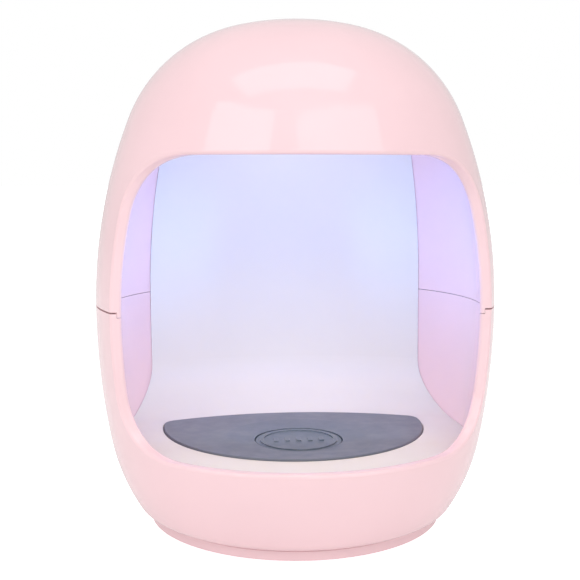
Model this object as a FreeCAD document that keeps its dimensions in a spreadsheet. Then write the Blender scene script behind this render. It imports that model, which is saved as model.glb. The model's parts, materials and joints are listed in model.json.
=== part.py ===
import FreeCAD, Part
import math
import os
import re

import Sketcher

# A small egg-shaped UV LED nail lamp.
# Millimetres, +Z up, the front opening faces -Y, the origin is the centre of the resting face.

DIMENSIONS = [
    # Egg outline: tangent arcs above and below the widest level
    ("egg_radius", 39.0, "radius at the widest level"),
    ("waist_height", 42.0, "widest level"),
    ("side_radius", 98.9, "arc of the side above the widest level"),
    ("side_angle", 21.5, "turn of that arc, degrees"),
    ("shoulder_radius", 28.2, "arc of the shoulder"),
    ("shoulder_angle", 54.9, "turn of that arc, degrees"),
    ("low_side_radius", 135.4, "arc of the side below the widest level"),
    ("low_side_angle", 10.8, "turn of that arc, degrees"),
    ("belly_radius", 38.0, "arc of the belly, down to the foot"),
    ("shell_wall", 2.1, "thickness of both shells"),
    # Seam: a stepped lap, higher outside than inside
    ("seam_outside", 42.85, "height of the seam outside"),
    ("seam_gap", 0.3, "shadow gap between the shells outside"),
    ("seam_inside", 42.0, "height of the seam inside"),
    ("seam_joint", 0.12, "gap between the shells inside"),
    ("lap_radius", 37.9, "step between the two levels"),
    ("lap_clearance", 0.06, "clearance at that step"),
    # Snap hooks
    ("hook_inner", 35.3, "inner face of a hook"),
    ("hook_outer", 36.5, "outer face of a hook's tab"),
    ("hook_reach", 37.3, "outer face of a hook's root and nose"),
    ("hook_width", 6.0, "tab and root"),
    ("hook_low", 36.3, "lower end of a hook"),
    ("hook_root_low", 43.4, "underside of a hook's root"),
    ("hook_high", 46.8, "upper end of a hook"),
    ("nose_width", 5.0, "nose of a hook"),
    ("nose_low", 36.6, "underside of the nose"),
    ("nose_high", 38.2, "top of the nose"),
    ("hook_pocket_inner", 36.0, "pocket for a hook in the lower shell"),
    ("hook_pocket_outer", 37.7, "the same pocket, outer face"),
    ("hook_pocket_width", 6.4, "the same pocket, sideways"),
    ("hook_pocket_high", 38.6, "top of the same pocket"),
    # Opening, seen from the side
    ("opening_low", 18.0, "lower edge of the opening"),
    ("opening_high", 70.9, "upper edge of the opening"),
    ("opening_back", 17.4, "distance of the rim's plane in front of the axis"),
    ("opening_corner", 10.0, "corner radius of the opening"),
    ("rim_round", 0.55, "rounding of the rim's edges"),
    # Foot and floor of the lower shell
    ("foot_radius", 28.9, "outer radius of the foot ring"),
    ("foot_inner", 26.2, "inner radius of the foot ring"),
    ("foot_low", 0.15, "underside of the foot ring"),
    ("foot_high", 1.8, "top of the foot ring's side"),
    ("heel_low", 2.1, "crease between the heel and the foot ring"),
    ("heel_high", 3.8, "level where the belly turns under"),
    ("bottom_low", 1.4, "underside of the shell's bottom"),
    ("bottom_high", 3.5, "inside of the shell's bottom"),
    ("base_pad_radius", 25.5, "anti-slip pad"),
    # White liner
    ("liner_axis", 52.0, "distance of the liner's axis in front of the egg's"),
    ("liner_radius", 79.5, "inner radius of the liner's wall at the widest level"),
    ("liner_lean", 95.0, "arc of the liner's wall, seen from the side"),
    ("liner_cove", 12.2, "cove between the floor and the wall"),
    ("liner_wall", 1.4, "thickness of the wall"),
    ("liner_gap", 0.12, "gap between the liner and the shells"),
    ("liner_top", 73.4, "top edge of the wall"),
    ("floor_high", 16.3, "top of the floor"),
    ("floor_low", 14.2, "underside of the floor"),
    ("boss_place_x", 18.5, "floor bosses, sideways"),
    ("boss_place_y", 12.5, "floor bosses, front and back"),
    ("boss_radius", 2.7, "floor bosses and ceiling posts"),
    ("boss_sink", 0.6, "floor bosses, above the floor's underside"),
    ("boss_pilot_depth", 1.7, "distance of their pilot holes from the floor's underside"),
    ("floor_reach", 12.0, "distance at which the floor starts, from the liner's axis"),
    # Finger pad and button
    ("pad_rear_radius", 65.0, "rear edge of the pad, about the liner's axis"),
    ("pad_front_radius", 26.5, "front edge of the pad"),
    ("pad_centre", 3.8, "centre of the front edge, behind the axis"),
    ("pad_corner", 3.0, "corner radius of the pad"),
    ("pad_low", 15.2, "underside of the pad"),
    ("pad_high", 16.65, "top of the pad"),
    ("pad_round", 0.25, "rounding of the pad's top edge"),
    ("pad_gap", 0.15, "gap around the pad in its recess"),
    ("dish_radius", 210.0, "sphere that dishes the pad"),
    ("dish_low", 16.15, "lowest level of the dish"),
    ("button_place", 7.7, "button's axis in front of the egg's"),
    ("button_radius", 8.46, "button"),
    ("button_hole", 8.62, "hole in the pad and the floor"),
    ("button_high", 16.2, "top of the button at rest"),
    ("flange_radius", 9.6, "flange that keeps the button in"),
    ("flange_high", 14.0, "top of the flange"),
    ("flange_low", 13.0, "underside of the flange"),
    ("plunger_radius", 2.5, "plunger under the button"),
    ("plunger_low", 11.4, "underside of the plunger"),
    ("mark_height", 0.22, "raised ring and marks"),
    ("button_round", 0.3, "rounding of the button's edge"),
    ("ring_outer", 7.5, "raised ring on the button"),
    ("ring_inner", 6.8, "inside of the same ring"),
    ("mark_pitch", 2.2, "distance between the marks"),
    ("mark_width", 0.9, "one mark, sideways"),
    ("mark_length", 2.2, "one mark, front to back"),
    ("dome_foot_inner", 4.1, "inside of the silicone dome's foot"),
    ("dome_foot_outer", 5.5, "outside of the dome's foot"),
    ("dome_crown", 2.3, "radius of the dome's crown"),
    ("dome_height", 3.1, "height of the dome"),
    ("pill_radius", 1.5, "carbon pill"),
    ("pill_low", 0.95, "underside of the pill, above the board"),
    ("pill_high", 1.4, "top of the pill, above the board"),
    ("contact_radius", 1.8, "gold contacts"),
    ("contact_height", 0.1, "thickness of the contacts"),
    ("contact_split", 0.5, "gap between the contacts"),
    # Main board
    ("board_low", 7.0, "underside of the main board"),
    ("board_high", 8.2, "top of the main board"),
    ("board_half_width", 15.0, "half width of the main board"),
    ("board_front", 16.0, "front edge of the main board"),
    ("board_edge", 30.3, "radius of the main board's round rear edge"),
    ("board_screw_front_x", 12.0, "front screws, sideways"),
    ("board_screw_front_y", 12.0, "front screws, in front of the axis"),
    ("board_screw_rear_x", 12.2, "rear screws, sideways"),
    ("board_screw_rear_y", 23.6, "rear screws, behind the axis"),
    ("board_post_radius", 2.5, "posts under the main board"),
    ("pilot_floor", 0.4, "lowest level of a post's pilot hole, above the shell's bottom"),
    ("screw_hole", 1.0, "hole for a board screw"),
    # What is on the main board
    ("leg_width", 0.4, "chip leg"),
    ("leg_thickness", 0.2, "chip leg"),
    ("chip_x", -9.0, "chip's middle, sideways"),
    ("chip_y", 6.0, "chip's middle, behind the axis"),
    ("chip_width", 3.9, "chip without its legs"),
    ("chip_length", 4.9, "chip"),
    ("chip_lift", 0.1, "gap under the chip"),
    ("chip_height", 1.6, "top of the chip above the board"),
    ("chip_pitch", 1.27, "distance between the chip's legs"),
    ("transistor_x", 8.5, "transistor's middle, sideways"),
    ("transistor_y", 6.5, "transistor's middle, behind the axis"),
    ("transistor_width", 6.4, "transistor"),
    ("transistor_length", 6.0, "transistor"),
    ("transistor_height", 2.3, "transistor"),
    ("transistor_tab", 5.2, "width of its metal tab"),
    ("tab_height", 0.5, "thickness of its tab and legs"),
    ("capacitor_x", -8.0, "capacitor's middle, sideways"),
    ("capacitor_y", 15.0, "capacitor's middle, behind the axis"),
    ("capacitor_base", 6.6, "side of the capacitor's base"),
    ("capacitor_base_high", 0.8, "thickness of its base"),
    ("capacitor_radius", 3.0, "capacitor's can"),
    ("capacitor_height", 5.2, "top of the can above the board"),
    ("resistor_x", 10.0, "resistors' inner end"),
    ("resistor_y", -6.0, "first resistor's front"),
    ("resistor_pitch", 1.9, "distance between the resistors"),
    ("resistor_length", 3.0, "one resistor"),
    ("resistor_width", 1.3, "one resistor"),
    ("resistor_height", 0.55, "one resistor"),
    ("header_half_width", 3.8, "half width of the lead header"),
    ("header_front", 14.0, "front of the lead header"),
    ("header_rear", 20.5, "mouth of the lead header"),
    ("header_height", 4.6, "lead header"),
    ("header_floor", 0.7, "floor of the header's hollow, above the board"),
    ("header_roof", 4.0, "roof of the header's hollow, above the board"),
    ("header_back_wall", 1.2, "wall behind the plug"),
    ("header_side_wall", 0.8, "walls beside the plug"),
    ("plug_clearance", 0.1, "clearance around the plug"),
    ("plug_rear", 21.6, "rear of the lead plug"),
    # Ceiling
    ("holder_radius", 30.5, "ceiling plate"),
    ("holder_low", 73.8, "underside of the ceiling plate"),
    ("holder_high", 75.3, "top of the ceiling plate"),
    ("post_place", 22.0, "distance of the ceiling posts from the axis"),
    ("post_height", 20.0, "ceiling post before it's trimmed to the shell"),
    ("post_pilot_depth", 6.0, "pilot hole in a ceiling post"),
    ("led_board_radius", 15.0, "LED board"),
    ("led_board_high", 76.5, "top of the LED board"),
    ("led_place", 9.0, "distance of the LED beads from the axis"),
    ("led_size", 3.5, "side of an LED's base"),
    ("led_base", 0.8, "thickness of an LED's base"),
    ("led_dome", 1.5, "radius of an LED's lens"),
    ("led_hole", 2.8, "radius of an LED's hole"),
    ("holder_screw_hole", 1.2, "clearance hole for the larger screws"),
    ("led_screw_x", 13.0, "LED board's screws, sideways"),
    ("pilot_skin", 0.3, "plastic left under their pilot holes"),
    ("notch_left", 5.0, "left side of the notch for the leads"),
    ("notch_right", 11.0, "right side of the same notch"),
    ("notch_front", 24.8, "front of the same notch"),
    # Power inlet
    ("inlet_middle", 9.5, "height of the inlet's middle"),
    ("inlet_width", 11.4, "inlet hole in the shell"),
    ("inlet_height", 7.0, "inlet hole in the shell"),
    ("socket_width", 7.5, "USB socket"),
    ("socket_height", 2.6, "USB socket"),
    ("socket_rear", 27.2, "USB socket's inner end"),
    ("socket_mouth", 32.8, "USB socket's mouth"),
    ("socket_wall", 0.3, "USB socket's sheet"),
    ("tongue_half", 2.6, "half width of the socket's tongue"),
    ("tongue_floor", 0.9, "underside of that tongue, above the board"),
    ("tongue_roof", 1.5, "top of that tongue, above the board"),
    ("tongue_recess", 0.8, "distance of that tongue from the mouth"),
    ("inlet_inner", 28.0, "where the inlet hole starts, behind the axis"),
    ("inlet_depth", 12.0, "length of the tool that cuts the inlet hole"),
    # Leads and fasteners
    ("lead_radius", 0.65, "insulated lead"),
    ("lead_plug_x", 8.0, "sideways place of the lead plug"),
    ("lead_pitch", 2.5, "distance between the leads"),
    ("screw_radius", 0.95, "shank of the larger screws"),
    ("screw_pilot", 1.0, "their pilot holes"),
    ("screw_head", 1.9, "their heads"),
    ("small_screw", 0.85, "shank of the board screws"),
    ("small_pilot", 0.9, "their pilot holes"),
    ("small_head", 1.7, "their heads"),
    ("head_height", 1.1, "height of every screw head"),
    ("head_sink", 2.2, "recess around a floor screw's head"),
    ("sink_depth", 1.2, "depth of the same recess"),
    ("slot_half", 0.2, "half width of a screw's cross"),
    ("slot_reach", 1.0, "half length of a screw's cross"),
    ("slot_depth", 0.5, "depth of a screw's cross"),
    ("floor_screw_length", 6.9, "under the head"),
    ("board_screw_length", 3.8, "under the head"),
    ("holder_screw_length", 6.5, "under the head"),
    ("led_screw_length", 2.2, "under the head"),
]

ALIASES = {alias for alias, value, meaning in DIMENSIONS}
LED_COUNT = 6
POST_ANGLES = (30, 150, 270)
HOOK_ANGLES = (50, 90, 130)
SIGNS = (-1, 1)
MARKS = (-2, -1, 0, 1, 2)
CHIP_ROWS = (-1.5, -0.5, 0.5, 1.5)
OVERLAP = 0.1
BEYOND = 1
UP = FreeCAD.Vector(0, 0, 1)

doc = FreeCAD.newDocument("nail_lamp")
sheet = doc.addObject("Spreadsheet::Sheet", "Sheet")
for row, (alias, value, meaning) in enumerate(DIMENSIONS, start=1):
    sheet.set(f"A{row}", meaning)
    sheet.set(f"B{row}", str(value))
    sheet.setAlias(f"B{row}", alias)
doc.recompute()

nodes = []


# ---------------------------------------------------------------- helpers

def cell(alias):
    """Value of one driving dimension."""
    return float(sheet.get(alias))


def formula(text):
    """Expression in which each dimension's name points at its cell."""
    return re.sub(r"[a-z_]+", lambda word: ("Sheet." if word[0] in ALIASES else "") + word[0], str(text))


def bind(item, **properties):
    """Bind properties of an object to expressions."""
    for name, text in properties.items():
        item.setExpression(name, formula(text))


def place(item, x=0, y=0, z=0):
    """Bind an object's position to expressions."""
    for axis, text in (("x", x), ("y", y), ("z", z)):
        item.setExpression(f"Placement.Base.{axis}", formula(text))
    return item


def cylinder(name, radius, low, high, x=0, y=0):
    """Upright cylinder between two heights."""
    item = doc.addObject("Part::Cylinder", name)
    bind(item, Radius=radius, Height=f"({high}) - ({low})")
    return place(item, x, y, low)


def box(name, x_low, x_high, y_low, y_high, z_low, z_high):
    """Box between two corners."""
    item = doc.addObject("Part::Box", name)
    bind(item, Length=f"({x_high}) - ({x_low})", Width=f"({y_high}) - ({y_low})")
    bind(item, Height=f"({z_high}) - ({z_low})")
    return place(item, x_low, y_low, z_low)


def radial_box(name, angle, r_low, r_high, width, z_low, z_high):
    """Box that faces outwards at an angle about the egg's axis."""
    item = doc.addObject("Part::Box", name)
    bind(item, Length=f"({r_high}) - ({r_low})", Width=width, Height=f"({z_high}) - ({z_low})")
    item.Placement = FreeCAD.Placement(FreeCAD.Vector(), FreeCAD.Rotation(UP, angle))
    x = f"({r_low}) * cos({angle} deg) + ({width}) / 2 * sin({angle} deg)"
    y = f"({r_low}) * sin({angle} deg) - ({width}) / 2 * cos({angle} deg)"
    return place(item, x, y, z_low)


def joined(name, items):
    """One solid made of several."""
    item = doc.addObject("Part::MultiFuse", name)
    item.Shapes = items
    item.Refine = True
    return item


def cut(name, base, tools):
    """Base without the tools."""
    item = doc.addObject("Part::Cut", name)
    item.Base = base
    item.Tool = tools[0] if len(tools) == 1 else joined(name + "_tools", tools)
    item.Refine = True
    return item


def shared(name, items):
    """Space that all the items hold."""
    item = doc.addObject("Part::MultiCommon", name)
    item.Shapes = items
    item.Refine = True
    return item


def group(name, items):
    """Separate identical solids kept as one node."""
    item = doc.addObject("Part::Compound", name)
    item.Links = items
    return item


def node(item, label):
    """Name a finished sub-part."""
    item.Label = label
    nodes.append(item)
    return item


def origin_plane(body, role):
    """One of a body's own origin planes."""
    for feature in body.Origin.OriginFeatures:
        if feature.Role == role:
            return feature
    raise ValueError(role)


def line(start, end):
    """Straight sketch line between two points."""
    return Part.LineSegment(FreeCAD.Vector(*start, 0), FreeCAD.Vector(*end, 0))


def lines(points):
    """Sketch lines through the points."""
    return [line(start, end) for start, end in zip(points, points[1:])]


def arc(centre, radius, start, end):
    """Sketch arc between two angles in radians, lowest first."""
    circle = Part.Circle(FreeCAD.Vector(*centre, 0), UP, radius)
    return Part.ArcOfCircle(circle, min(start, end), max(start, end))


def add_sketch(body, role, curves, offset="0"):
    """Closed sketch on one of the body's origin planes, its curves joined end to end."""
    sketch = body.newObject("Sketcher::SketchObject", body.Name + "_sketch")
    sketch.AttachmentSupport = [(origin_plane(body, role), "")]
    sketch.MapMode = "FlatFace"
    sketch.setExpression("AttachmentOffset.Base.z", formula(offset))
    sketch.addGeometry(curves, False)
    drawn = sketch.Geometry
    for index, curve in enumerate(drawn):
        following = (index + 1) % len(drawn)
        ends = [(1, curve.StartPoint), (2, curve.EndPoint)]
        starts = [(1, drawn[following].StartPoint), (2, drawn[following].EndPoint)]
        pairs = [(a.distanceToPoint(b), i, j) for i, a in ends for j, b in starts]
        gap, here, there = min(pairs)
        if gap > 1e-6:
            raise ValueError(f"{body.Name}: curve {index} doesn't meet the next")
        sketch.addConstraint(Sketcher.Constraint("Coincident", index, here, following, there))
        if isinstance(curve, Part.LineSegment):
            run = curve.EndPoint - curve.StartPoint
            if abs(run.x) < 1e-9:
                sketch.addConstraint(Sketcher.Constraint("Vertical", index))
            elif abs(run.y) < 1e-9:
                sketch.addConstraint(Sketcher.Constraint("Horizontal", index))
    return sketch


def bind_radius(sketch, index, text):
    """Drive the radius of one sketch arc from the sheet."""
    radius = sketch.Geometry[index].Radius
    constraint = sketch.addConstraint(Sketcher.Constraint("Radius", index, radius))
    sketch.setExpression(f"Constraints[{constraint}]", formula(text))


def revolved(body, sketch):
    """Full turn of a sketch about its vertical axis."""
    turn = body.newObject("PartDesign::Revolution", body.Name + "_turn")
    turn.Profile = sketch
    turn.ReferenceAxis = (sketch, ["V_Axis"])
    turn.Angle = 360
    body.Tip = turn
    return turn


# ---------------------------------------------------------------- egg outline

def upper_arcs(inset, low):
    """Outline above the waist, from the level low to the crown: (centre, radius, start, end) of each arc."""
    first = math.radians(cell("side_angle"))
    second = first + math.radians(cell("shoulder_angle"))
    side = cell("side_radius")
    shoulder = cell("shoulder_radius")
    side_centre = (cell("egg_radius") - side, cell("waist_height"))
    shoulder_centre = (side_centre[0] + (side - shoulder) * math.cos(first),
                       side_centre[1] + (side - shoulder) * math.sin(first))
    crown = shoulder + shoulder_centre[0] / math.cos(second)
    crown_centre = (0.0, shoulder_centre[1] + (shoulder - crown) * math.sin(second))
    start = math.asin((low - side_centre[1]) / (side - inset))
    return [(side_centre, side - inset, start, first),
            (shoulder_centre, shoulder - inset, first, second),
            (crown_centre, crown - inset, second, math.pi / 2)]


def lower_arcs(inset, high, low):
    """Outline below the waist, from the level high down to the level low."""
    first = math.radians(cell("low_side_angle"))
    side = cell("low_side_radius")
    belly = cell("belly_radius")
    side_centre = (cell("egg_radius") - side, cell("waist_height"))
    belly_centre = (side_centre[0] + (side - belly) * math.cos(first),
                    side_centre[1] - (side - belly) * math.sin(first))
    start = math.asin((side_centre[1] - high) / (side - inset))
    end = math.asin((belly_centre[1] - low) / (belly - inset))
    return [(side_centre, side - inset, -start, -first),
            (belly_centre, belly - inset, -first, -end)]


def heel_arc(belly_part):
    """Arc that carries the belly on and under, to where it lies flat at the crease above the foot ring."""
    centre, radius, start, end = belly_part
    join = point_at(centre, radius, end)
    heel = (join[1] - cell("heel_low")) / (1 + math.sin(end))
    middle = (join[0] - heel * math.cos(end), join[1] - heel * math.sin(end))
    return (middle, heel, end, -math.pi / 2)


def point_at(centre, radius, angle):
    """Point of an arc."""
    return (centre[0] + radius * math.cos(angle), centre[1] + radius * math.sin(angle))


def egg_solid(name, inset, low):
    """Solid egg moved in by inset and cut flat at the level low, used to trim what is inside."""
    body = doc.addObject("PartDesign::Body", name)
    level = cell("waist_height")
    upper = upper_arcs(inset, level)
    lower = lower_arcs(inset, level, low)
    corner = point_at(lower[-1][0], lower[-1][1], lower[-1][3])
    curves = [line((0, low), corner)]
    curves += [arc(*part) for part in reversed(lower)]
    curves += [arc(*part) for part in upper]
    curves.append(line(point_at(*upper[-1][:2], upper[-1][3]), (0, low)))
    revolved(body, add_sketch(body, "XZ_Plane", curves))
    return body


# ---------------------------------------------------------------- shells

def on_opening(point):
    """True for a point on the side outline of the opening."""
    low = cell("opening_low")
    high = cell("opening_high")
    back = -cell("opening_back")
    corner = cell("opening_corner")
    y = point.y
    z = point.z
    if y > back - corner:
        for middle in (low + corner, high - corner):
            if abs(math.hypot(y - back + corner, z - middle) - corner) < 1e-4:
                return True
    on_back = abs(y - back) < 1e-4 and low + corner - 1e-4 < z < high - corner + 1e-4
    on_ledge = min(abs(z - low), abs(z - high)) < 1e-4 and y < back - corner + 1e-4
    return on_back or on_ledge


def rim_edges(shape):
    """Inner and outer edges of the rim around the opening."""
    names = []
    for index, edge in enumerate(shape.Edges, start=1):
        if edge.Degenerated or isinstance(edge.Curve, Part.Line):
            continue
        low, high = edge.ParameterRange
        points = [edge.valueAt(low + (high - low) * step / 4) for step in range(5)]
        if all(on_opening(point) for point in points):
            names.append(f"Edge{index}")
    return names


def open_front(body):
    """Cut the opening across the shell and round its rim."""
    low = cell("opening_low")
    high = cell("opening_high")
    back = -cell("opening_back")
    corner = cell("opening_corner")
    front = -2 * cell("egg_radius")
    curves = [line((front, low), (back - corner, low)),
              arc((back - corner, low + corner), corner, -math.pi / 2, 0),
              line((back, low + corner), (back, high - corner)),
              arc((back - corner, high - corner), corner, 0, math.pi / 2),
              line((back - corner, high), (front, high)),
              line((front, high), (front, low))]
    sketch = add_sketch(body, "YZ_Plane", curves)
    bind_radius(sketch, 1, "opening_corner")
    bind_radius(sketch, 3, "opening_corner")
    before = body.Shape.Volume
    pocket = body.newObject("PartDesign::Pocket", body.Name + "_opening")
    pocket.Profile = sketch
    pocket.SideType = "Symmetric"
    pocket.setExpression("Length", formula("4 * egg_radius"))
    body.Tip = pocket
    doc.recompute()
    if pocket.Shape.Volume > 0.95 * before:
        raise ValueError(f"{body.Name}: the opening cut nothing")
    fillet = body.newObject("PartDesign::Fillet", body.Name + "_rim")
    fillet.Base = (pocket, rim_edges(pocket.Shape))
    fillet.setExpression("Radius", formula("rim_round"))
    body.Tip = fillet


def upper_shell():
    """Dome with an inner lip, three hooks and three ceiling posts."""
    body = doc.addObject("PartDesign::Body", "upper_body")
    wall = cell("shell_wall")
    lap = cell("lap_radius")
    edge = cell("seam_outside") + cell("seam_gap") / 2
    lip = cell("seam_inside") + cell("seam_joint") / 2
    outer = upper_arcs(0, edge)
    inner = upper_arcs(wall, lip)
    crown = point_at(*outer[-1][:2], outer[-1][3])
    curves = [arc(*part) for part in outer]
    curves.append(line(crown, (0, crown[1] - wall)))
    curves += [arc(*part) for part in reversed(inner)]
    curves += lines([point_at(*inner[0][:3]), (lap, lip), (lap, edge), point_at(*outer[0][:3])])
    sketch = add_sketch(body, "XZ_Plane", curves)
    bind_radius(sketch, 0, "side_radius")
    bind_radius(sketch, 1, "shoulder_radius")
    bind_radius(sketch, 5, "shoulder_radius - shell_wall")
    bind_radius(sketch, 6, "side_radius - shell_wall")
    revolved(body, sketch)
    doc.recompute()
    open_front(body)

    pieces = [body]
    for angle in HOOK_ANGLES:
        hook = f"hook_{angle}"
        inside = f"hook_outer - {OVERLAP}"
        pieces.append(radial_box(hook + "_tab", angle, "hook_inner", "hook_outer", "hook_width",
                                 "hook_low", "hook_high"))
        pieces.append(radial_box(hook + "_root", angle, inside, "hook_reach", "hook_width",
                                 "hook_root_low", "hook_high"))
        pieces.append(radial_box(hook + "_nose", angle, inside, "hook_reach", "nose_width",
                                 "nose_low", "nose_high"))
    posts = []
    pilots = []
    for angle in POST_ANGLES:
        x = f"post_place * cos({angle} deg)"
        y = f"post_place * sin({angle} deg)"
        posts.append(cylinder(f"post_{angle}", "boss_radius", "holder_high",
                              "holder_high + post_height", x, y))
        pilots.append(cylinder(f"post_pilot_{angle}", "screw_pilot", "holder_high",
                               "holder_high + post_pilot_depth", x, y))
    trim = egg_solid("post_trim", wall / 2, cell("floor_high"))
    pieces.append(shared("posts", [group("raw_posts", posts), trim]))
    return node(cut("upper_shell_cut", joined("upper_joined", pieces), pilots), "upper_shell")


def floor_places():
    """Centres of the four floor bosses, as expressions."""
    return [(f"{side} * boss_place_x", f"{end} * boss_place_y") for side in SIGNS for end in SIGNS]


def board_places():
    """Centres of the four board screws, as expressions."""
    front = [(f"{side} * board_screw_front_x", "-1 * board_screw_front_y") for side in SIGNS]
    rear = [(f"{side} * board_screw_rear_x", "board_screw_rear_y") for side in SIGNS]
    return front + rear


def lower_shell():
    """Bowl with the foot ring, an outer lip, board posts, screw holes and the inlet."""
    body = doc.addObject("PartDesign::Body", "lower_body")
    wall = cell("shell_wall")
    lap = cell("lap_radius") + cell("lap_clearance")
    lip = cell("seam_outside") - cell("seam_gap") / 2
    edge = cell("seam_inside") - cell("seam_joint") / 2
    foot_high = cell("foot_high")
    bottom_low = cell("bottom_low")
    bottom_high = cell("bottom_high")
    foot_low = cell("foot_low")
    foot_out = cell("foot_radius")
    foot_in = cell("foot_inner")
    outer = lower_arcs(0, lip, cell("heel_high"))
    outer.append(heel_arc(outer[-1]))
    inner = lower_arcs(wall, edge, bottom_high)
    curves = lines([point_at(*outer[0][:3]), (lap, lip), (lap, edge), point_at(*inner[0][:3])])
    curves += [arc(*part) for part in inner]
    curves += lines([point_at(*inner[-1][:2], inner[-1][3]), (0, bottom_high), (0, bottom_low),
                     (foot_in, bottom_low), (foot_in, foot_low), (foot_out, foot_low),
                     (foot_out, foot_high), point_at(*outer[-1][:2], outer[-1][3])])
    curves += [arc(*part) for part in reversed(outer)]
    sketch = add_sketch(body, "XZ_Plane", curves)
    bind_radius(sketch, 3, "low_side_radius - shell_wall")
    bind_radius(sketch, 4, "belly_radius - shell_wall")
    bind_radius(sketch, 13, "belly_radius")
    bind_radius(sketch, 14, "low_side_radius")
    revolved(body, sketch)
    doc.recompute()
    open_front(body)

    pieces = [body]
    tools = []
    for number, (x, y) in enumerate(board_places(), start=1):
        pieces.append(cylinder(f"board_post_{number}", "board_post_radius", f"bottom_high - {OVERLAP}",
                               "board_low", x, y))
        tools.append(cylinder(f"board_pilot_{number}", "small_pilot", "bottom_high + pilot_floor",
                              f"board_low + {BEYOND}", x, y))
    for number, (x, y) in enumerate(floor_places(), start=1):
        tools.append(cylinder(f"floor_hole_{number}", "holder_screw_hole", f"bottom_low - {BEYOND}",
                              f"bottom_high + {BEYOND}", x, y))
        tools.append(cylinder(f"floor_sink_{number}", "head_sink", f"bottom_low - {BEYOND}",
                              "bottom_low + sink_depth", x, y))
    for angle in HOOK_ANGLES:
        tools.append(radial_box(f"hook_pocket_{angle}", angle, "hook_pocket_inner", "hook_pocket_outer",
                                "hook_pocket_width", "hook_low", "hook_pocket_high"))
    half = "inlet_height / 2"
    straight = "(inlet_width - inlet_height) / 2"
    for side in SIGNS:
        end = doc.addObject("Part::Cylinder", f"inlet_end_{side + 1}")
        bind(end, Radius=half, Height="inlet_depth")
        end.Placement = FreeCAD.Placement(FreeCAD.Vector(), FreeCAD.Rotation(FreeCAD.Vector(1, 0, 0), -90))
        tools.append(place(end, f"{side} * ({straight})", "inlet_inner", "inlet_middle"))
    tools.append(box("inlet_middle_cut", f"-1 * ({straight})", straight, "inlet_inner",
                     "inlet_inner + inlet_depth", f"inlet_middle - {half}", f"inlet_middle + {half}"))
    return node(cut("lower_shell_cut", joined("lower_joined", pieces), tools), "lower_shell")


# ---------------------------------------------------------------- liner, pad and button

def liner_body():
    """Floor, cove and leaning wall turned about the liner's own axis."""
    body = doc.addObject("PartDesign::Body", "liner_body")
    level = cell("waist_height")
    lean = cell("liner_lean")
    cove = cell("liner_cove")
    wall = cell("liner_wall")
    top = cell("liner_top")
    floor_high = cell("floor_high")
    floor_low = cell("floor_low")
    reach = cell("floor_reach")
    wall_centre = (cell("liner_radius") - lean, level)
    cove_level = floor_high + cove
    drop = math.asin((cove_level - level) / (lean - cove))
    cove_centre = (wall_centre[0] + (lean - cove) * math.cos(drop), cove_level)
    inner_top = math.asin((top - level) / lean)
    outer_top = math.asin((top - level) / (lean + wall))
    under = cove_level - floor_low
    outer_drop = math.asin((cove_level - level) / (lean + wall - under))
    under_centre = (wall_centre[0] + (lean + wall - under) * math.cos(outer_drop), cove_level)
    curves = [line((reach, floor_low), (under_centre[0], floor_low)),
              arc(under_centre, under, -math.pi / 2, outer_drop),
              arc(wall_centre, lean + wall, outer_drop, outer_top),
              line(point_at(wall_centre, lean + wall, outer_top), point_at(wall_centre, lean, inner_top)),
              arc(wall_centre, lean, drop, inner_top),
              arc(cove_centre, cove, -math.pi / 2, drop),
              line((cove_centre[0], floor_high), (reach, floor_high)),
              line((reach, floor_high), (reach, floor_low))]
    sketch = add_sketch(body, "XZ_Plane", curves, "liner_axis")
    bind_radius(sketch, 2, "liner_lean + liner_wall")
    bind_radius(sketch, 4, "liner_lean")
    bind_radius(sketch, 5, "liner_cove")
    revolved(body, sketch)
    return body


def pad_blank(name, grow, low, high):
    """Half-moon between the pad's rear and front arcs, its two corners rounded."""
    rear = cylinder(name + "_rear", f"pad_rear_radius + {grow}", low, high, 0, "-1 * liner_axis")
    front = cylinder(name + "_front", f"pad_front_radius + {grow}", low, high, 0, "pad_centre")
    blank = shared(name + "_blank", [rear, front])
    doc.recompute()
    corners = []
    for index, edge in enumerate(blank.Shape.Edges, start=1):
        if isinstance(edge.Curve, Part.Line) and abs(edge.Vertexes[0].Point.x) > 1:
            corners.append((index, cell("pad_corner"), cell("pad_corner")))
    rounded = doc.addObject("Part::Fillet", name + "_corners")
    rounded.Base = blank
    rounded.Edges = corners
    return rounded


def reflector_scoop():
    """One-piece white liner: floor, cove and back wall, with the pad's recess and four bosses."""
    trim = egg_solid("liner_trim", cell("shell_wall") + cell("liner_gap"), cell("bottom_high"))
    shell = shared("liner_trimmed", [liner_body(), trim])
    bosses = []
    tools = [pad_blank("recess", "pad_gap", "pad_low", f"floor_high + {BEYOND}"),
             cylinder("liner_button_hole", "button_hole", f"floor_low - {BEYOND}", "floor_high",
                      0, "-1 * button_place")]
    for number, (x, y) in enumerate(floor_places(), start=1):
        bosses.append(cylinder(f"boss_{number}", "boss_radius", "bottom_high", "floor_low + boss_sink", x, y))
        tools.append(cylinder(f"boss_pilot_{number}", "screw_pilot", "bottom_high",
                              "floor_low - boss_pilot_depth", x, y))
    return node(cut("scoop_cut", joined("scoop_joined", [shell] + bosses), tools), "reflector_scoop")


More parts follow.
